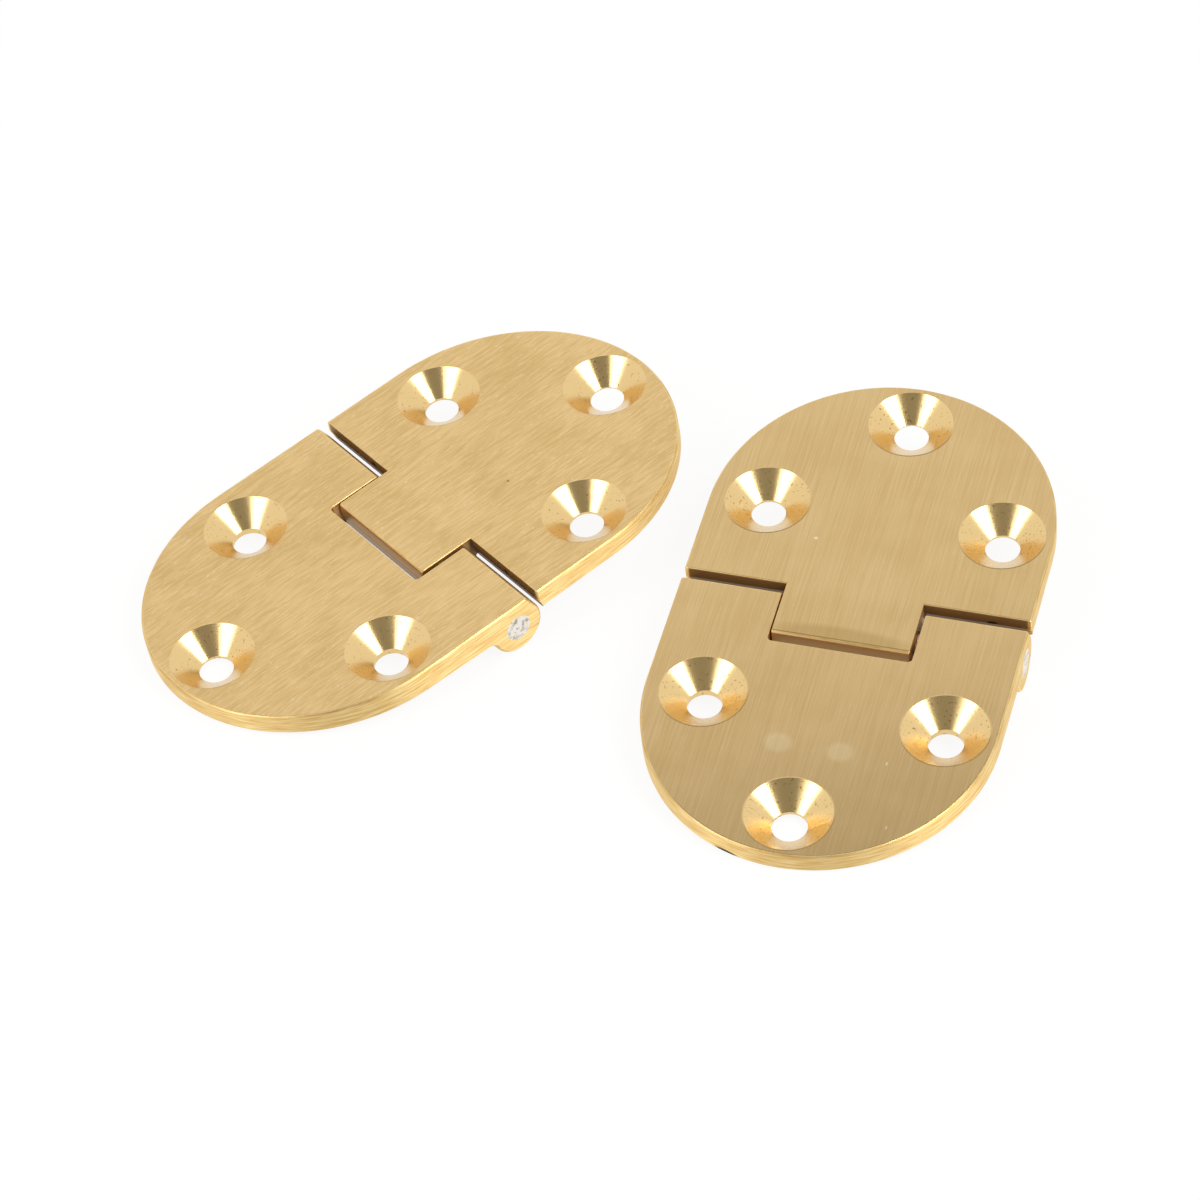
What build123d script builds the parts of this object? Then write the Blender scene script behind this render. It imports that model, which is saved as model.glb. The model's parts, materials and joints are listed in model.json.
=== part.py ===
from build123d import *
from math import asin, atan2, degrees, hypot
import os

# A pair of round tray hinges in solid brass, lying open with the countersunk faces up.
# Each hinge has a fork leaf with two outer knuckles and a slot, a tongue leaf whose
# single knuckle fills the slot, and a steel pin that runs through all three knuckles.
# One hinge is drawn with X along its pin, Y from the fork leaf to the tongue leaf,
# Z up out of the countersunk faces, and the pin axis at the origin. Millimetres.

# Plan of the two leaves: straight sides, and an end a little longer than a half circle
leaf_width = 40.0
end_length = 21.0
fork_reach = 33.95
tongue_reach = 35.35

# Thickness: both leaves thin out from the knuckle to the round end
fork_root_thickness = 3.5
fork_tip_thickness = 2.5
tongue_root_thickness = 2.8
tongue_tip_thickness = 2.5

# Knuckle and pin
knuckle_radius = 3.3
pin_diameter = 3.3
pin_running_clearance = 0.05
underside_blend = 1.0

# Both leaves stay flat past the pin before they turn down: the fork leaf's knuckles a
# little, and the tongue's nose farther, with a square face that stands on the barrel
knuckle_flat = 1.9
nose_reach = 3.85
nose_foot = 1.2
corner_round = 0.4

# Tongue and slot, seen along the pin
tongue_width = 15.85
tongue_offset = -0.18
left_side_clearance = 0.15
right_side_clearance = 0.5
slot_end_clearance = 0.15
slot_corner_radius = 0.5

# Square shoulders of the tongue leaf, hollowed below to pass over the outer knuckles
shoulder_clearance = 0.05
hollow_clearance = 0.15

# Countersunk screw holes, two side by side and one near the round end
screw_hole_diameter = 4.0
countersink_diameter = 9.85
countersink_depth = 2.35
side_hole_spacing = 27.4
side_hole_from_end = 20.25
tip_hole_from_end = 5.65
side_hole_shift = 0.4
tip_hole_shift = 0.1

# Softened edges
outer_edge_round = 0.3
inner_edge_round = 0.15

# Where each hinge lies on the table: the middle of its pin, and the heading of the pin
left_hinge_place = (-21.5, 9.2)
left_hinge_heading = -53.8
right_hinge_place = (27.5, -12.1)
right_hinge_heading = -18.95

# Worked out from the sizes above
half_width = leaf_width / 2
top = knuckle_radius
tongue_left = tongue_offset - tongue_width / 2
tongue_right = tongue_offset + tongue_width / 2
slot_left = tongue_left - left_side_clearance
slot_right = tongue_right + right_side_clearance
knuckle_swing = hypot(knuckle_flat - corner_round, top - corner_round) + corner_round
nose_swing = hypot(nose_reach - corner_round, top - corner_round) + corner_round
slot_depth = nose_swing + slot_end_clearance
shoulder_front = knuckle_radius + shoulder_clearance
hollow_radius = knuckle_swing + hollow_clearance
cut_margin = 1.0
tolerance = 0.001
past_side = half_width + cut_margin
past_knuckle = nose_swing + cut_margin

fork = -1
tongue = 1


def outline(side, reach):
    """Plan of a round-ended leaf: straight sides from the pin, and half an ellipse."""
    straight = reach - end_length
    sides = Pos(0, side * straight / 2) * Rectangle(leaf_width, straight)
    end = Pos(0, side * straight) * Ellipse(half_width, end_length)
    return sides + end


def plate(side, reach, root_thickness, tip_thickness):
    """Round-ended leaf without its knuckles, thinning out from the pin to its end."""
    section = Polyline(
        (0, top),
        (side * reach, top),
        (side * reach, top - tip_thickness),
        (0, top - root_thickness),
        close=True,
    )
    bar = extrude(Plane.YZ.offset(-half_width) * make_face(section), amount=leaf_width)
    plan = Pos(0, 0, -cut_margin) * outline(side, reach)
    return bar & extrude(plan, amount=top + 2 * cut_margin, dir=(0, 0, 1))


def rod(radius, left, right):
    """Round bar along the pin axis."""
    return Pos((left + right) / 2, 0, 0) * Rot(0, 90, 0) * Cylinder(radius, right - left)


def squared_bar(front, left, right):
    """Round bar along the pin whose flat top runs past the axis to a rounded corner."""
    section = make_hull(Circle(knuckle_radius).edges() + Polyline(*front).edges())
    corner = section.vertices().sort_by(lambda vertex: abs(vertex.X) + vertex.Y)[-1]
    section = fillet(corner, corner_round)
    return extrude(Plane.YZ.offset(left) * section, amount=right - left)


def block(left, right, near, far, low, high):
    """Box between two corners."""
    centre = Pos((left + right) / 2, (near + far) / 2, (low + high) / 2)
    return centre * Box(right - left, far - near, high - low)


def along_pin(edge):
    """True for a straight edge that runs along the pin."""
    heading = edge.tangent_at(0)
    return edge.geom_type == GeomType.LINE and hypot(heading.Y, heading.Z) < tolerance


def upright(edge):
    """True for a straight edge square to the leaf."""
    heading = edge.tangent_at(0)
    return edge.geom_type == GeomType.LINE and hypot(heading.X, heading.Y) < tolerance


def round_outside(whole):
    """Softens the outer edges of a leaf, all round its plan and its knuckle ends."""
    edges = [edge for edge in whole.edges() if not along_pin(edge) and not upright(edge)]
    return fillet(edges, outer_edge_round)


def break_slot_edges(leaf):
    """Softens the edges round the walls of the fork leaf's slot."""
    edges = []
    for edge in leaf.edges():
        middle = edge.center()
        along = slot_left - tolerance < middle.X < slot_right + tolerance
        across = middle.Y > -slot_depth - tolerance
        if along and across and not upright(edge):
            edges.append(edge)
    return fillet(edges, inner_edge_round)


def break_tongue_edges(leaf):
    """Softens the outline of the tongue's two sides and the shoulders' upper edges."""
    edges = []
    for edge in leaf.edges():
        middle = edge.center()
        on_top = middle.Z > top - tolerance and middle.Y < shoulder_front + tolerance
        nose_corner = along_pin(edge) and middle.Y < 0
        if on_top and not nose_corner:
            edges.append(edge)
    return fillet(edges, inner_edge_round)


def blend_knuckle(whole, side):
    """Rounds the inner corner where the leaf's underside runs into the knuckle."""
    corner = []
    for edge in whole.edges():
        middle = edge.center()
        on_knuckle = abs(hypot(middle.Y, middle.Z) - knuckle_radius) < tolerance
        if along_pin(edge) and on_knuckle and side * middle.Y > knuckle_radius / 2:
            corner.append(edge)
    return fillet(corner, underside_blend)


def screw_holes(side, reach):
    """Cutters for the three countersunk holes of one leaf."""
    side_y = side * (reach - side_hole_from_end)
    tip_y = side * (reach - tip_hole_from_end)
    places = [
        (side_hole_shift - side_hole_spacing / 2, side_y),
        (side_hole_shift + side_hole_spacing / 2, side_y),
        (tip_hole_shift, tip_y),
    ]
    sink_height = countersink_depth + cut_margin
    slope = (countersink_diameter - screw_hole_diameter) / 2 / countersink_depth
    mouth_radius = countersink_diameter / 2 + slope * cut_margin
    sink = Cone(screw_hole_diameter / 2, mouth_radius, sink_height)
    drill = Cylinder(screw_hole_diameter / 2, 2 * knuckle_radius + 2 * cut_margin)
    sink_level = top + cut_margin - sink_height / 2
    return [Pos(x, y, sink_level) * sink + Pos(x, y, 0) * drill for x, y in places]


def blank(side, reach, root_thickness, tip_thickness, knuckle):
    """One leaf with its knuckle along its whole width, before it is cut and drilled."""
    whole = plate(side, reach, root_thickness, tip_thickness) + knuckle
    return round_outside(blend_knuckle(whole, side))


def fork_leaf():
    """Leaf with the two outer knuckles and the slot between them."""
    knuckle = squared_bar([(0, top), (knuckle_flat, top)], -half_width, half_width)
    leaf = blank(fork, fork_reach, fork_root_thickness, fork_tip_thickness, knuckle)
    slot = block(slot_left, slot_right, -slot_depth, past_knuckle, -past_knuckle, past_knuckle)
    corners = [edge for edge in slot.edges() if upright(edge) and edge.center().Y < 0]
    leaf = break_slot_edges(leaf - fillet(corners, slot_corner_radius))
    leaf -= rod(pin_diameter / 2, -past_side, past_side)
    for hole in screw_holes(fork, fork_reach):
        leaf -= hole
    return leaf


def tongue_leaf():
    """Leaf with square shoulders and the single middle knuckle, which ends in a nose."""
    barrel = rod(knuckle_radius, -half_width, half_width)
    leaf = blank(tongue, tongue_reach, tongue_root_thickness, tongue_tip_thickness, barrel)
    for left, right in ((-past_side, tongue_left), (tongue_right, past_side)):
        leaf -= block(left, right, -past_knuckle, shoulder_front, -past_knuckle, past_knuckle)
        leaf -= rod(hollow_radius, left, right)
    nose = [(0, top), (-nose_reach, top), (-nose_reach, nose_foot)]
    leaf = break_tongue_edges(leaf + squared_bar(nose, tongue_left, tongue_right))
    leaf -= rod(pin_diameter / 2 + pin_running_clearance, -past_side, past_side)
    for hole in screw_holes(tongue, tongue_reach):
        leaf -= hole
    return leaf


def hinge_pin():
    """Steel pin, flush with both ends of the knuckles."""
    return rod(pin_diameter / 2, -half_width, half_width)


def resting_tilt():
    """Angle at which the open hinge lies on its knuckles and the end of the fork leaf."""
    along = fork_reach - outer_edge_round
    above = top - fork_tip_thickness + outer_edge_round
    drop = knuckle_radius - outer_edge_round
    return degrees(asin(drop / hypot(along, above)) + atan2(above, along))


def lay(solid, place, heading):
    """Puts one piece of a hinge where it lies on the table."""
    return Pos(*place, knuckle_radius) * Rot(0, 0, heading) * Rot(resting_tilt(), 0, 0) * solid


pieces = {
    "fork_leaf": fork_leaf(),
    "tongue_leaf": tongue_leaf(),
    "pin": hinge_pin(),
}
hinges = {
    "left": (left_hinge_place, left_hinge_heading),
    "right": (right_hinge_place, right_hinge_heading),
}

laid = {
    hand + "_" + name: lay(solid, place, heading)
    for hand, (place, heading) in hinges.items()
    for name, solid in pieces.items()
}

# The frame's origin is the middle of the whole pair's footprint, on the table
boxes = [solid.bounding_box() for solid in laid.values()]
middle_x = (min(box.min.X for box in boxes) + max(box.max.X for box in boxes)) / 2
middle_y = (min(box.min.Y for box in boxes) + max(box.max.Y for box in boxes)) / 2
table = min(box.min.Z for box in boxes)

os.makedirs("parts", exist_ok=True)
for name, solid in laid.items():
    export_step(Pos(-middle_x, -middle_y, -table) * solid, "parts/" + name + ".step")
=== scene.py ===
# %% [markdown]
# A pair of round tray hinges in solid brass
# These hinges join the folding sides of a butler's tray to its bottom. Each one is two round-ended
# leaves and a steel pin, and the screws go into three countersunk holes in each leaf.
# The CAD model already has their true shape and size, so this script adds what CAD can't give:
# the brushed brass, the turned countersinks, the peened pins, the light and the camera.

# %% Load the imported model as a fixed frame
import json
from math import cos, pi, radians, sin

import bpy
from mathutils import Matrix, Vector

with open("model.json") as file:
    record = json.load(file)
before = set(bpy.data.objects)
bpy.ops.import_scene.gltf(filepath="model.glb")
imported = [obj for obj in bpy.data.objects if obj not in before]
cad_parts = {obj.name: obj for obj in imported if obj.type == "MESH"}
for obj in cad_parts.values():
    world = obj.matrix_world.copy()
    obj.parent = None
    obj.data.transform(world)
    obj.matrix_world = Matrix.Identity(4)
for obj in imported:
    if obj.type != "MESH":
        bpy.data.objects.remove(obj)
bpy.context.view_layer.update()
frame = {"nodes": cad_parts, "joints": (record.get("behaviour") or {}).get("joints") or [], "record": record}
millimetre = 0.001
print("CAD nodes:", ", ".join(sorted(frame["nodes"])))

# %% [markdown]
# The camera
# The photo was taken with a long lens from about 43 degrees above the table. A long lens far away keeps
# the two hinges nearly free of perspective, as a catalogue picture wants. The camera could be placed by
# eye, but a fit to the twelve countersink rims gives its pitch, distance and slight roll directly.

# %% Camera
photo_side = 1200
lens_in_pixels = 4500
sensor_width = 36.0
camera_pitch = radians(42.8)
camera_roll = radians(-4.106)
camera_distance = 516.1 * millimetre
aim_point = Vector((0.272, 3.762, 0.007)) * millimetre
image_centre = (602.6, 601.4)


def aim_camera(pitch, roll, distance, target):
    """Place of a camera that looks along +Y and down at a target, turned a little about its own axis."""
    ahead = Vector((0, cos(pitch), -sin(pitch)))
    level = Vector((1, 0, 0))
    upward = level.cross(ahead)
    across = level * cos(roll) + upward * sin(roll)
    over = upward * cos(roll) - level * sin(roll)
    turned = Matrix((across, over, -ahead)).transposed().to_4x4()
    return Matrix.Translation(target - ahead * distance) @ turned


lens = bpy.data.cameras.new("photo_lens")
lens.sensor_width = sensor_width
lens.lens = sensor_width * lens_in_pixels / photo_side
lens.shift_x = (photo_side / 2 - image_centre[0]) / photo_side
lens.shift_y = (image_centre[1] - photo_side / 2) / photo_side
camera = bpy.data.objects.new("photo_camera", lens)
camera.matrix_world = aim_camera(camera_pitch, camera_roll, camera_distance, aim_point)
bpy.context.scene.collection.objects.link(camera)
bpy.context.scene.camera = camera
print("camera at mm:", [round(x / millimetre) for x in camera.matrix_world.translation], "lens", lens.lens)

# %% [markdown]
# Colours and nodes
# Colours are written as sRGB hex, the way a paint program shows them, and one function turns them into
# the linear light values that Blender computes with. Every material below is a short list of nodes, so
# one small function adds a node, sets its properties and its sockets, and links what is to be linked.
# The others stand for the nodes that come up most: a mask between two limits, one sum, and the mixes of
# two numbers and of two colours.


# %% Colour and node helpers
def linear(hex_colour):
    """An sRGB hex colour as linear red, green, blue and an alpha of 1."""
    shown = [int(hex_colour[start : start + 2], 16) / 255 for start in (0, 2, 4)]
    return [c / 12.92 if c <= 0.04045 else ((c + 0.055) / 1.055) ** 2.4 for c in shown] + [1.0]


def add_node(tree, kind, sockets=None, **settings):
    """Adds a node, sets its properties, and fills each named or numbered socket with a value or a link."""
    node = tree.nodes.new(kind)
    for name, value in settings.items():
        setattr(node, name, value)
    for socket, value in (sockets or {}).items():
        if isinstance(value, bpy.types.NodeSocket):
            tree.links.new(value, node.inputs[socket])
        else:
            node.inputs[socket].default_value = value
    return node


def rise(tree, value, low, high, smooth=False):
    """A mask that goes from 0 where the value is low to 1 where it is high."""
    course = "SMOOTHSTEP" if smooth else "LINEAR"
    sockets = {"Value": value, "From Min": low, "From Max": high}
    return add_node(tree, "ShaderNodeMapRange", sockets, interpolation_type=course).outputs["Result"]


def maths(tree, operation, first, second=0.0):
    """One sum, with numbers or values of other nodes."""
    return add_node(tree, "ShaderNodeMath", {0: first, 1: second}, operation=operation).outputs["Value"]


def blend_values(tree, factor, first, second):
    """Mixes two numbers, or values of other nodes, by a factor."""
    mix = add_node(tree, "ShaderNodeMix", {0: factor, 2: first, 3: second}, data_type="FLOAT")
    return mix.outputs[0]


def blend_colours(tree, factor, first, second):
    """Mixes two colours, or colours of other nodes, by a factor."""
    mix = add_node(tree, "ShaderNodeMix", {0: factor, 6: first, 7: second}, data_type="RGBA")
    return mix.outputs[2]


def new_material(name):
    """A material without any nodes yet, and the tree that they go into."""
    material = bpy.data.materials.new(name)
    material.use_nodes = True
    material.node_tree.nodes.clear()
    return material, material.node_tree


print("sRGB 808080 in linear light:", [round(c, 3) for c in linear("808080")])

# %% [markdown]
# The studio
# Polished metal has no colour of its own to show: it shows the room. The countersinks in the photo mirror
# two bright soft lamps, left and right of the camera, and a dark patch above the camera between them.
# The flat tops mirror a white wall behind the hinges that darkens towards the ceiling, and the right
# hinge fades at its near end because it already mirrors that ceiling. So the room is a white tent with
# a pale grey ceiling, a darker opening round the camera, and two softboxes. It stays white near the
# horizon, which is what every low view sees behind the part.

# %% World
tent_white = "FFFFFF"
ceiling_grey = "C0BEBA"
opening_grey = "9A9892"
ceiling_edge = (sin(radians(56.8)), sin(radians(60.5)))
opening_elevation = radians(45)
opening_edge = (cos(radians(36)), cos(radians(22)))
white_below = (sin(radians(14)), sin(radians(26)))

world = bpy.data.worlds.new("white_tent")
bpy.context.scene.world = world
world.use_nodes = True
sky = world.node_tree
sky.nodes.clear()
toward = add_node(sky, "ShaderNodeTexCoord").outputs["Generated"]
opening_middle = (0.0, -cos(opening_elevation), sin(opening_elevation))
nearness = add_node(sky, "ShaderNodeVectorMath", {0: toward, 1: opening_middle}, operation="DOT_PRODUCT")
inside = rise(sky, nearness.outputs["Value"], *opening_edge, smooth=True)
height = add_node(sky, "ShaderNodeSeparateXYZ", {"Vector": toward}).outputs["Z"]
above = rise(sky, height, *white_below, smooth=True)
opening = maths(sky, "MULTIPLY", inside, above)
ceiling = rise(sky, height, *ceiling_edge, smooth=True)
tent = blend_colours(sky, ceiling, linear(tent_white), linear(ceiling_grey))
room = blend_colours(sky, opening, tent, linear(opening_grey))
background = add_node(sky, "ShaderNodeBackground", {"Color": room, "Strength": 1.0})
add_node(sky, "ShaderNodeOutputWorld", {"Surface": background.outputs["Background"]})
print("tent", tent_white, "with a ceiling", ceiling_grey, "and", opening_grey, "round the camera")

# %% [markdown]
# Softboxes
# A softbox is a lamp behind a sheet of white cloth. An area lamp does the same, and metal mirrors its
# rectangle. Its power is worked out from how bright the cloth looks, because that brightness is what
# shows in the countersinks, and it stays the same if the box is made larger or smaller.

# %% Softboxes
object_middle = Vector((0, 0, 3 * millimetre))
softbox_distance = 0.42
softbox_width = 0.18
softbox_height = 0.26


def softbox(name, azimuth, elevation, glow):
    """A soft lamp seen from the hinges at that azimuth from the camera and elevation, facing them."""
    direction = Vector((sin(azimuth) * cos(elevation), -cos(azimuth) * cos(elevation), sin(elevation)))
    cloth = bpy.data.lights.new(name, "AREA")
    cloth.shape = "RECTANGLE"
    cloth.size = softbox_width
    cloth.size_y = softbox_height
    cloth.energy = glow * softbox_width * softbox_height * pi
    box = bpy.data.objects.new(name, cloth)
    box.location = object_middle + direction * softbox_distance
    box.rotation_mode = "QUATERNION"
    box.rotation_quaternion = direction.to_track_quat("Z", "Y")
    bpy.context.scene.collection.objects.link(box)
    return box


softboxes = [
    softbox("softbox_right", radians(57), radians(47), 6.5),
    softbox("softbox_left", radians(-62), radians(44), 3.4),
]
print("softbox watts:", [round(box.data.energy, 2) for box in softboxes])

# %% [markdown]
# The table
# The catalogue picture has a pure white ground. A white table under soft light would render pale grey in
# the hinges' shade, so most of what the camera sees of the table is a plain white glow, and a small share
# is the real shaded surface, which keeps the shadow. Further out only the glow is left, so that the table
# meets the white tent without an edge. Metal mirrors the table too, so it sees the same mixture.

# %% Table
table_side = 8.0
card_colour = "F0F0F0"
shaded_share = 0.09
shadow_reach = (70 * millimetre, 160 * millimetre)

white_card, card = new_material("white_card_table")
rays = add_node(card, "ShaderNodeLightPath").outputs
mirrored = maths(card, "MAXIMUM", rays["Is Glossy Ray"], rays["Is Transmission Ray"])
seen = maths(card, "MAXIMUM", rays["Is Camera Ray"], mirrored)
place = add_node(card, "ShaderNodeTexCoord").outputs["Object"]
from_middle = add_node(card, "ShaderNodeVectorMath", {0: place}, operation="LENGTH").outputs["Value"]
outside = rise(card, from_middle, *shadow_reach, smooth=True)
glow_share = blend_values(card, outside, 1 - shaded_share, 1.0)
glow_factor = maths(card, "MULTIPLY", seen, glow_share)
matt = add_node(card, "ShaderNodeBsdfDiffuse", {"Color": linear(card_colour)}).outputs["BSDF"]
glow = add_node(card, "ShaderNodeEmission", {"Color": linear(tent_white), "Strength": 1.0})
sockets = {0: glow_factor, 1: matt, 2: glow.outputs["Emission"]}
mixed = add_node(card, "ShaderNodeMixShader", sockets)
add_node(card, "ShaderNodeOutputMaterial", {"Surface": mixed.outputs["Shader"]})

bpy.ops.mesh.primitive_plane_add(size=table_side)
table = bpy.context.object
table.name = "table"
table.data.materials.append(white_card)
print("table side in m:", table_side)

# %% [markdown]
# Each hinge's own directions
# The brush lines run along each hinge, across its pin, so a pattern needs the hinge's own directions:
# u along the pin, v along the leaves and w up out of the countersunk faces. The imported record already
# holds them, as the joint's axis and the direction of a screw hole. Object coordinates stay with a
# leaf when it turns, so the brush lines do too.


# %% Hinge directions
def hinge_space(hand):
    """The hinge's u, v, w directions as a matrix, placed at the middle of its pin."""
    joint = next(j for j in frame["joints"] if j["name"] == hand + "_hinge")
    screw = next(m for m in frame["record"]["mounts"] if m["name"] == hand + "_tongue_tip_screw")
    along_pin = Vector(joint["axis"])
    upright = Vector(screw["axis"])
    axes = Matrix((along_pin, upright.cross(along_pin), upright)).transposed().to_4x4()
    return Matrix.Translation(Vector(joint["pos_m"])) @ axes


spaces = {hand: hinge_space(hand) for hand in ("left", "right")}
for hand, space in spaces.items():
    print(hand, "pin at mm", [round(x / millimetre, 1) for x in space.translation])

# %% [markdown]
# Brushed brass
# The leaves are cut from brass bar and brushed on a belt, which leaves fine straight scratches. To the eye
# they make a soft sheen that stretches across the lines, so the reflection is anisotropic: it stretches
# along the pin on the flat faces, and up and down on the edges, which were brushed along the outline.
# The left hinge was brushed harder and in short strokes, and bright flecks of painted highlight stand in for
# the glints of the lamps in its scratches. The right one is satin.
# The countersinks were turned by a cutter, which leaves faint rings, a few pits and a thin burr round the
# mouth. The faces inside the joint were milled and never brushed. They stay dull. Deeper in, and all
# over the tongue leaf's shoulders, they get painted shade, a dark brown. One material holds all four
# finishes. It picks by the way each surface faces and by where it lies in the hinge, so the finish stays
# where it belongs when a leaf turns. The real scratches are about 0.05 mm wide. They are drawn two or
# three times as wide, or they would not show. The marks are those of the photo: two faint smudges and a
# few nicks. With them go painted shade, as near-black spots deep in the gaps and a darker band at the end
# of the right hinge's tongue, and a painted shadow where that hinge's fork leaf meets the table at its tip.
# Each is an oval with a centre and half sizes in mm along u, v and w, a tint and a strength.

# %% Brushed brass
# Patterns of noise: sizes in mm, along u, v and w where there are three, and the range that shows
brush_width = {"left": 0.17, "right": 0.13}
brush_length = {"left": 2.6, "right": 8.0}
# Painted highlight: bright flecks that stand in for lamp glints in the scratches, mostly on the left hinge
painted_glint_size = (0.13, 0.8, 0.13)
painted_glint_range = (0.64, 0.74)
painted_glint_amount = {"left": 0.45, "right": 0.08}
patch_size = (9.0, 5.0, 9.0)
brush_share = 0.65
tone_range = (0.36, 0.64)
edge_brush_size = (3.0, 3.0, 0.16)
edge_tone_range = (0.35, 0.65)
ring_size = (40.0, 40.0, 0.12)
pit_size = (0.3, 0.3, 0.3)
pit_range = {"left": (0.66, 0.78), "right": (0.63, 0.79)}

# Depths of the scratches and rings, and the height of the burr, in metres
brush_depth = {"left": 3.6e-6, "right": 0.9e-6}
edge_brush_depth = 5.0e-6
ring_depth = 1.2e-6
burr_height = 18.0e-6

# Where each finish lies, in mm. A lean of 1 is a face that lies flat, and 0 is one that stands
sink_radius = 4.925
sink_softness = 0.05
burr_width = 0.14
joint_reach = 5.2
joint_half_width = 19.6
joint_softness = 0.1
# How deep in the joint the painted shade sets in, in mm, and how much of it the tongue leaf's shoulders get
painted_shade_depths = (2.2, 0.2)
shoulder_faces = (2.6, 3.1)
shoulder_painted_shade = 0.85
far_away = 1000.0
flat_lean = (0.88, 0.96)
standing_lean = (0.75, 0.5)

# Colours, from dark to light where there are two
brass_colours = {"left": ("DAB87A", "EECD92"), "right": ("D0B079", "DABC87")}
# The colour of the painted highlight flecks
painted_glint_colour = "FAECC8"
edge_colours = ("DDB670", "F6DC9E")
turned_brass = "E8C98E"
pit_brass = "A67C44"
milled_brass = "E2BC82"
# Painted shade for the faces deep in the joint and the tongue leaf's shoulders
milled_painted_shade = "70502A"

# How dull each finish is, how far it stretches a reflection, and how much metal is left where shade is
# painted in the joint
top_roughness = {"left": 0.34, "right": 0.14}
edge_roughness = 0.5
turned_roughness = 0.2
milled_roughness = 0.45
top_stretch = 0.6
edge_stretch = 0.85
turned_stretch = 0.5
painted_shade_metal = 0.45

# Marks, spots of painted shade and shadow, and the share of each that is of full strength
spot_core = 0.6
marks_and_painted_shade = {
    "left": [
        ((3.85, 12.03, 3.3), (0.16, 0.16, 0.3), "5A4020", 0.8),
        # Painted shade: near-black ovals deep in the gaps between the knuckles
        ((-11.0, 3.3, 2.4), (0.5, 0.5, 0.35), "1C130A", 0.9),
        ((14.1, 3.3, 2.4), (0.4, 0.5, 0.3), "1C130A", 0.9),
    ],
    "right": [
        ((-3.4, -19.0, 3.3), (1.9, 1.6, 0.5), "F2DEB4", 0.3),
        ((3.55, -18.95, 3.3), (1.8, 1.6, 0.5), "F2DEB4", 0.3),
        ((-6.45, 10.55, 3.3), (0.3, 0.25, 0.3), "F6E6C0", 0.7),
        # Painted shade: a darker band where the right hinge's tongue end is crowned
        ((-0.18, -3.2, 3.3), (9.4, 1.75, 0.25), "AC8C50", 0.42),
        ((8.9, -19.5, 3.3), (0.14, 0.3, 0.3), "F6E6C0", 0.7),
        ((10.85, -28.0, 3.3), (0.14, 0.3, 0.3), "F6E6C0", 0.7),
        # Painted shade: a near-black oval deep in a gap between the knuckles
        ((15.5, 3.3, 2.0), (0.7, 0.5, 0.3), "1C130A", 0.9),
        # Painted shadow: a dark patch where the fork leaf's tip meets the table
        ((-5.8, -33.0, 0.95), (2.0, 1.0, 0.5), "3A2A18", 0.95),
    ],
}


def scratches(tree, place, sizes, detail=1.0):
    """Noise stretched to scratches whose size is given in mm along u, v and w."""
    scale = tuple(1 / size for size in sizes)
    stretched = add_node(tree, "ShaderNodeVectorMath", {0: place, 1: scale}, operation="MULTIPLY")
    sockets = {"Vector": stretched.outputs["Vector"], "Scale": 1.0, "Detail": detail}
    return add_node(tree, "ShaderNodeTexNoise", sockets).outputs["Fac"]


def hinge_place(tree, space):
    """The place on the surface, in mm along the hinge's u, v and w."""
    sockets = {
        "Vector": add_node(tree, "ShaderNodeTexCoord").outputs["Object"],
        "Location": space.translation,
        "Rotation": space.to_euler(),
        "Scale": (millimetre,) * 3,
    }
    return add_node(tree, "ShaderNodeMapping", sockets, vector_type="TEXTURE").outputs["Vector"]


def hinge_facing(tree, space):
    """The way the surface faces, along the hinge's u, v and w."""
    sockets = {
        "Vector": add_node(tree, "ShaderNodeTexCoord").outputs["Normal"],
        "Rotation": space.to_euler(),
    }
    return add_node(tree, "ShaderNodeMapping", sockets, vector_type="TEXTURE").outputs["Vector"]


def hole_places(hand):
    """The u, v of the hinge's six screw holes in mm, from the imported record."""
    places = []
    for mount in frame["record"]["mounts"]:
        if not mount["name"].startswith(hand) or "screw" not in mount["name"]:
            continue
        spacing = mount["dims"].get("pcd_mm", 0) / 2
        middle = spaces[hand].inverted() @ Vector(mount["pos_m"]) / millimetre
        places += [(middle.x + side * spacing, middle.y) for side in ((-1, 1) if spacing else (0,))]
    return places


def from_nearest_hole(tree, place, hand):
    """Distance in mm from the axis of the nearest screw hole."""
    flattened = add_node(tree, "ShaderNodeVectorMath", {0: place, 1: (1, 1, 0)}, operation="MULTIPLY")
    nearest = far_away
    for u, v in hole_places(hand):
        sockets = {0: flattened.outputs["Vector"], 1: (u, v, 0)}
        distance = add_node(tree, "ShaderNodeVectorMath", sockets, operation="DISTANCE").outputs["Value"]
        nearest = maths(tree, "MINIMUM", nearest, distance)
    return nearest


def inside_joint(tree, place, leaning):
    """Masks of the faces that stand in the joint, between the leaves, and of how much shade is painted on
    them.
    """
    along = add_node(tree, "ShaderNodeSeparateXYZ", {"Vector": place}).outputs
    from_pin = maths(tree, "ABSOLUTE", along["Y"])
    near_pin = rise(tree, from_pin, joint_reach + joint_softness, joint_reach)
    from_middle = maths(tree, "ABSOLUTE", along["X"])
    off_ends = rise(tree, from_middle, joint_half_width, joint_half_width - joint_softness)
    standing = rise(tree, leaning, *standing_lean)
    mask = maths(tree, "MULTIPLY", standing, maths(tree, "MULTIPLY", near_pin, off_ends))
    # Painted shade: darker deeper in the joint and on the tongue leaf's shoulders
    deep = rise(tree, along["Z"], *painted_shade_depths)
    shoulder_shade = maths(tree, "MULTIPLY", rise(tree, along["Y"], *shoulder_faces), shoulder_painted_shade)
    return mask, maths(tree, "MAXIMUM", deep, shoulder_shade)


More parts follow.
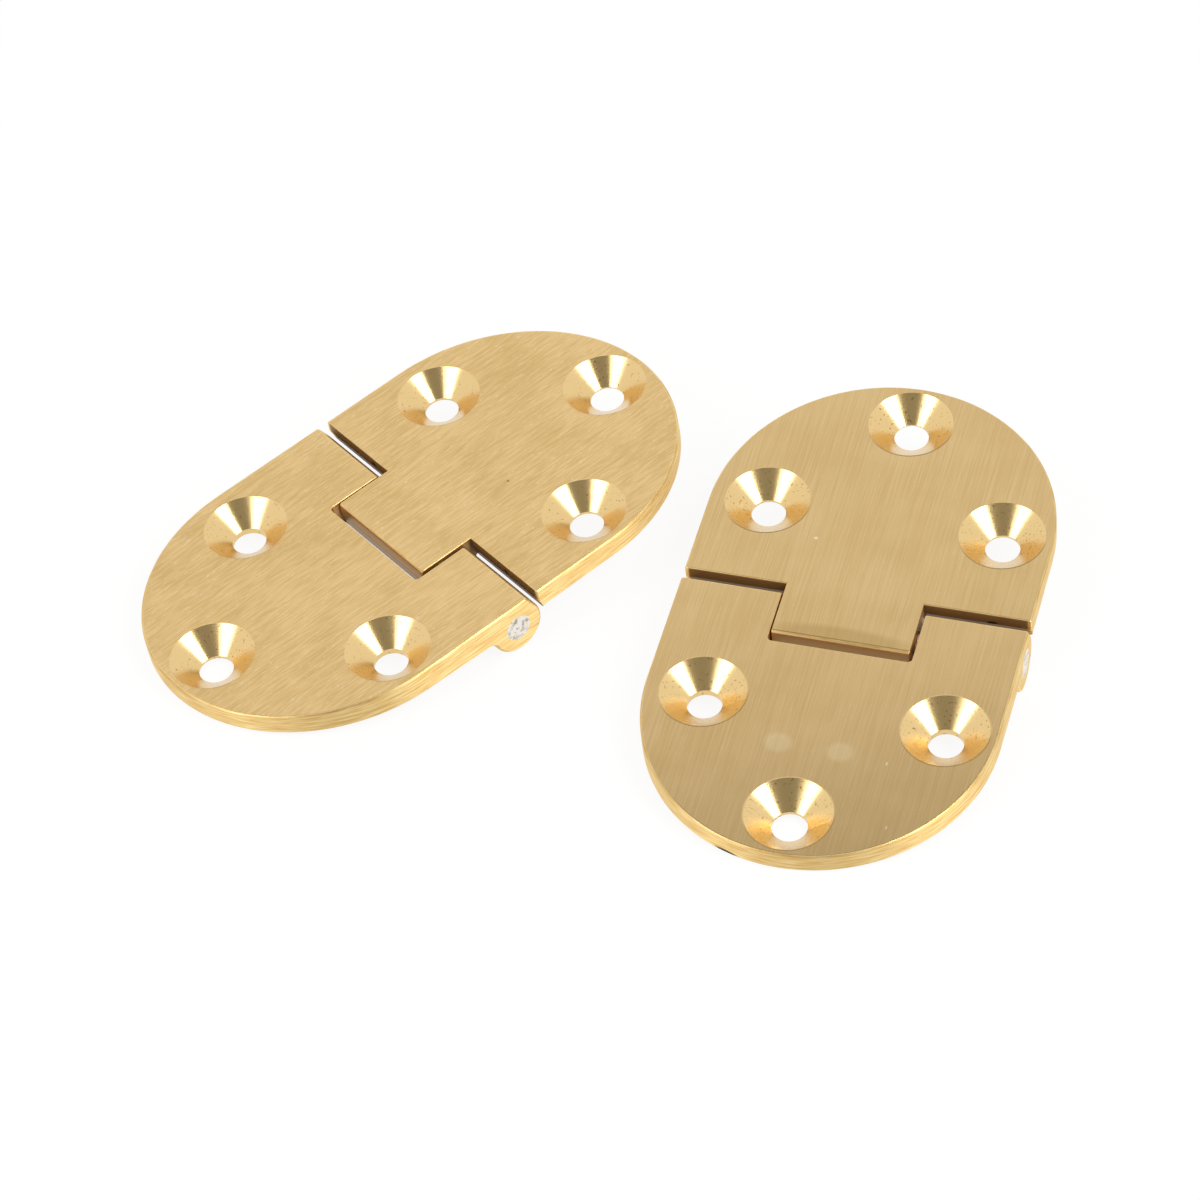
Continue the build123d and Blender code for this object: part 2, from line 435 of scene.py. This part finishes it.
def spot(tree, place, centre, half_size, amount):
    """A soft-edged oval mask round a point, both in mm along u, v, w, as strong as the amount."""
    offset = add_node(tree, "ShaderNodeVectorMath", {0: place, 1: centre}, operation="SUBTRACT")
    sockets = {0: offset.outputs["Vector"], 1: half_size}
    scaled = add_node(tree, "ShaderNodeVectorMath", sockets, operation="DIVIDE").outputs["Vector"]
    away = add_node(tree, "ShaderNodeVectorMath", {0: scaled}, operation="LENGTH").outputs["Value"]
    return maths(tree, "MULTIPLY", rise(tree, away, 1.0, spot_core), amount)


def brushed_brass(hand):
    """Solid brass, belt-brushed on its faces and edges, turned in its countersinks, milled in its joint."""
    material, tree = new_material(hand + "_brushed_brass")
    place = hinge_place(tree, spaces[hand])
    facing = hinge_facing(tree, spaces[hand])
    lean = add_node(tree, "ShaderNodeSeparateXYZ", {"Vector": facing}).outputs["Z"]
    leaning = maths(tree, "ABSOLUTE", lean)
    flat = rise(tree, leaning, *flat_lean)
    from_hole = from_nearest_hole(tree, place, hand)
    in_sink = rise(tree, from_hole, sink_radius + sink_softness, sink_radius)
    turned = maths(tree, "MULTIPLY", in_sink, maths(tree, "SUBTRACT", 1.0, flat))
    milled, joint_painted_shade = inside_joint(tree, place, leaning)

    width, length = brush_width[hand], brush_length[hand]
    brush = scratches(tree, place, (width, length, width))
    painted_glint = rise(tree, scratches(tree, place, painted_glint_size), *painted_glint_range)
    patches = scratches(tree, place, patch_size)
    edge_brush = scratches(tree, place, edge_brush_size, detail=2.0)
    rings = scratches(tree, place, ring_size)
    pits = rise(tree, scratches(tree, place, pit_size), *pit_range[hand])

    tone = blend_values(tree, brush_share, patches, brush)
    dark, light = brass_colours[hand]
    colour = blend_colours(tree, rise(tree, tone, *tone_range), linear(dark), linear(light))
    # Painted highlight: bright flecks where the scratches would catch the lamps
    painted_glint = maths(tree, "MULTIPLY", painted_glint, painted_glint_amount[hand])
    colour = blend_colours(tree, painted_glint, colour, linear(painted_glint_colour))
    dark, light = edge_colours
    edge_tone = rise(tree, edge_brush, *edge_tone_range)
    edge_colour = blend_colours(tree, edge_tone, linear(dark), linear(light))
    colour = blend_colours(tree, flat, edge_colour, colour)
    turned_colour = blend_colours(tree, pits, linear(turned_brass), linear(pit_brass))
    colour = blend_colours(tree, turned, colour, turned_colour)
    # Painted shade deep in the joint and on the shoulders
    milled_colour = blend_colours(tree, joint_painted_shade, linear(milled_brass), linear(milled_painted_shade))
    colour = blend_colours(tree, milled, colour, milled_colour)
    # Marks, and spots of painted shade and shadow, each a tinted oval
    for centre, half_size, tint, amount in marks_and_painted_shade[hand]:
        colour = blend_colours(tree, spot(tree, place, centre, half_size, amount), colour, linear(tint))

    roughness = blend_values(tree, flat, edge_roughness, top_roughness[hand])
    roughness = blend_values(tree, turned, roughness, turned_roughness)
    roughness = blend_values(tree, milled, roughness, milled_roughness)
    # Less metal where the shade is painted in the joint
    metal = blend_values(tree, maths(tree, "MULTIPLY", milled, joint_painted_shade), 1.0, painted_shade_metal)
    stretch = blend_values(tree, flat, edge_stretch, top_stretch)
    stretch = blend_values(tree, turned, stretch, turned_stretch)
    stretch = blend_values(tree, milled, stretch, 0.0)
    axes = spaces[hand].to_3x3().transposed()
    stretched = add_node(tree, "ShaderNodeMix", {0: flat, 4: axes[2], 5: axes[0]}, data_type="VECTOR")
    tangent = add_node(
        tree,
        "ShaderNodeVectorTransform",
        {"Vector": stretched.outputs[1]},
        vector_type="VECTOR",
        convert_from="OBJECT",
        convert_to="WORLD",
    )

    edge_height = maths(tree, "MULTIPLY", edge_brush, edge_brush_depth)
    flat_height = maths(tree, "MULTIPLY", brush, brush_depth[hand])
    height = blend_values(tree, flat, edge_height, flat_height)
    height = blend_values(tree, turned, height, maths(tree, "MULTIPLY", rings, ring_depth))
    burr = rise(tree, from_hole, sink_radius + burr_width, sink_radius)
    burr = maths(tree, "MULTIPLY", burr, flat)
    height = maths(tree, "ADD", height, maths(tree, "MULTIPLY", burr, burr_height))
    bump = add_node(tree, "ShaderNodeBump", {"Height": height, "Strength": 1.0, "Distance": 1.0})
    shader = add_node(
        tree,
        "ShaderNodeBsdfPrincipled",
        {
            "Base Color": colour,
            "Roughness": roughness,
            "Metallic": metal,
            "Anisotropic": stretch,
            "Tangent": tangent.outputs["Vector"],
            "Normal": bump.outputs["Normal"],
        },
    )
    add_node(tree, "ShaderNodeOutputMaterial", {"Surface": shader.outputs["BSDF"]})
    return material


def dress(node, material):
    """Gives a CAD node's object this material alone."""
    mesh = frame["nodes"][node].data
    mesh.materials.clear()
    mesh.materials.append(material)


for hand in spaces:
    brass = brushed_brass(hand)
    for leaf in ("fork_leaf", "tongue_leaf"):
        dress(hand + "_" + leaf, brass)
    print(brass.name, "holes at", [(round(u, 1), round(v, 1)) for u, v in hole_places(hand)])

# %% [markdown]
# Peened steel pins
# The pin is a piece of steel rod. Its ends were hammered flush, which spreads them in the hole and leaves
# small flat dents and a matt grey face.

# %% Peened steel
# The size of a dent in mm, its depth in metres, and colours from dark to light
dent_size = 0.55
dent_range = (0.32, 0.5)
dent_depth = 30.0e-6
steel_colours = ("B0A698", "F4EEE4")
steel_roughness = 0.42


def peened_steel(hand):
    """Mild steel rod with hammered ends."""
    material, tree = new_material(hand + "_peened_steel")
    dents = scratches(tree, hinge_place(tree, spaces[hand]), (dent_size,) * 3, detail=3.0)
    dark, light = steel_colours
    colour = blend_colours(tree, rise(tree, dents, *dent_range), linear(dark), linear(light))
    height = maths(tree, "MULTIPLY", dents, dent_depth)
    bump = add_node(tree, "ShaderNodeBump", {"Height": height, "Distance": 1.0})
    shader = add_node(
        tree,
        "ShaderNodeBsdfPrincipled",
        {
            "Base Color": colour,
            "Roughness": steel_roughness,
            "Metallic": 1.0,
            "Normal": bump.outputs["Normal"],
        },
    )
    add_node(tree, "ShaderNodeOutputMaterial", {"Surface": shader.outputs["BSDF"]})
    return material


for hand in spaces:
    dress(hand + "_pin", peened_steel(hand))
    print(hand, "pin dressed")

# %% [markdown]
# The view settings
# Nothing outside the CAD nodes was added to the part, so its box must come out as it went in.

# %% View settings
bpy.context.scene.view_settings.view_transform = "Standard"
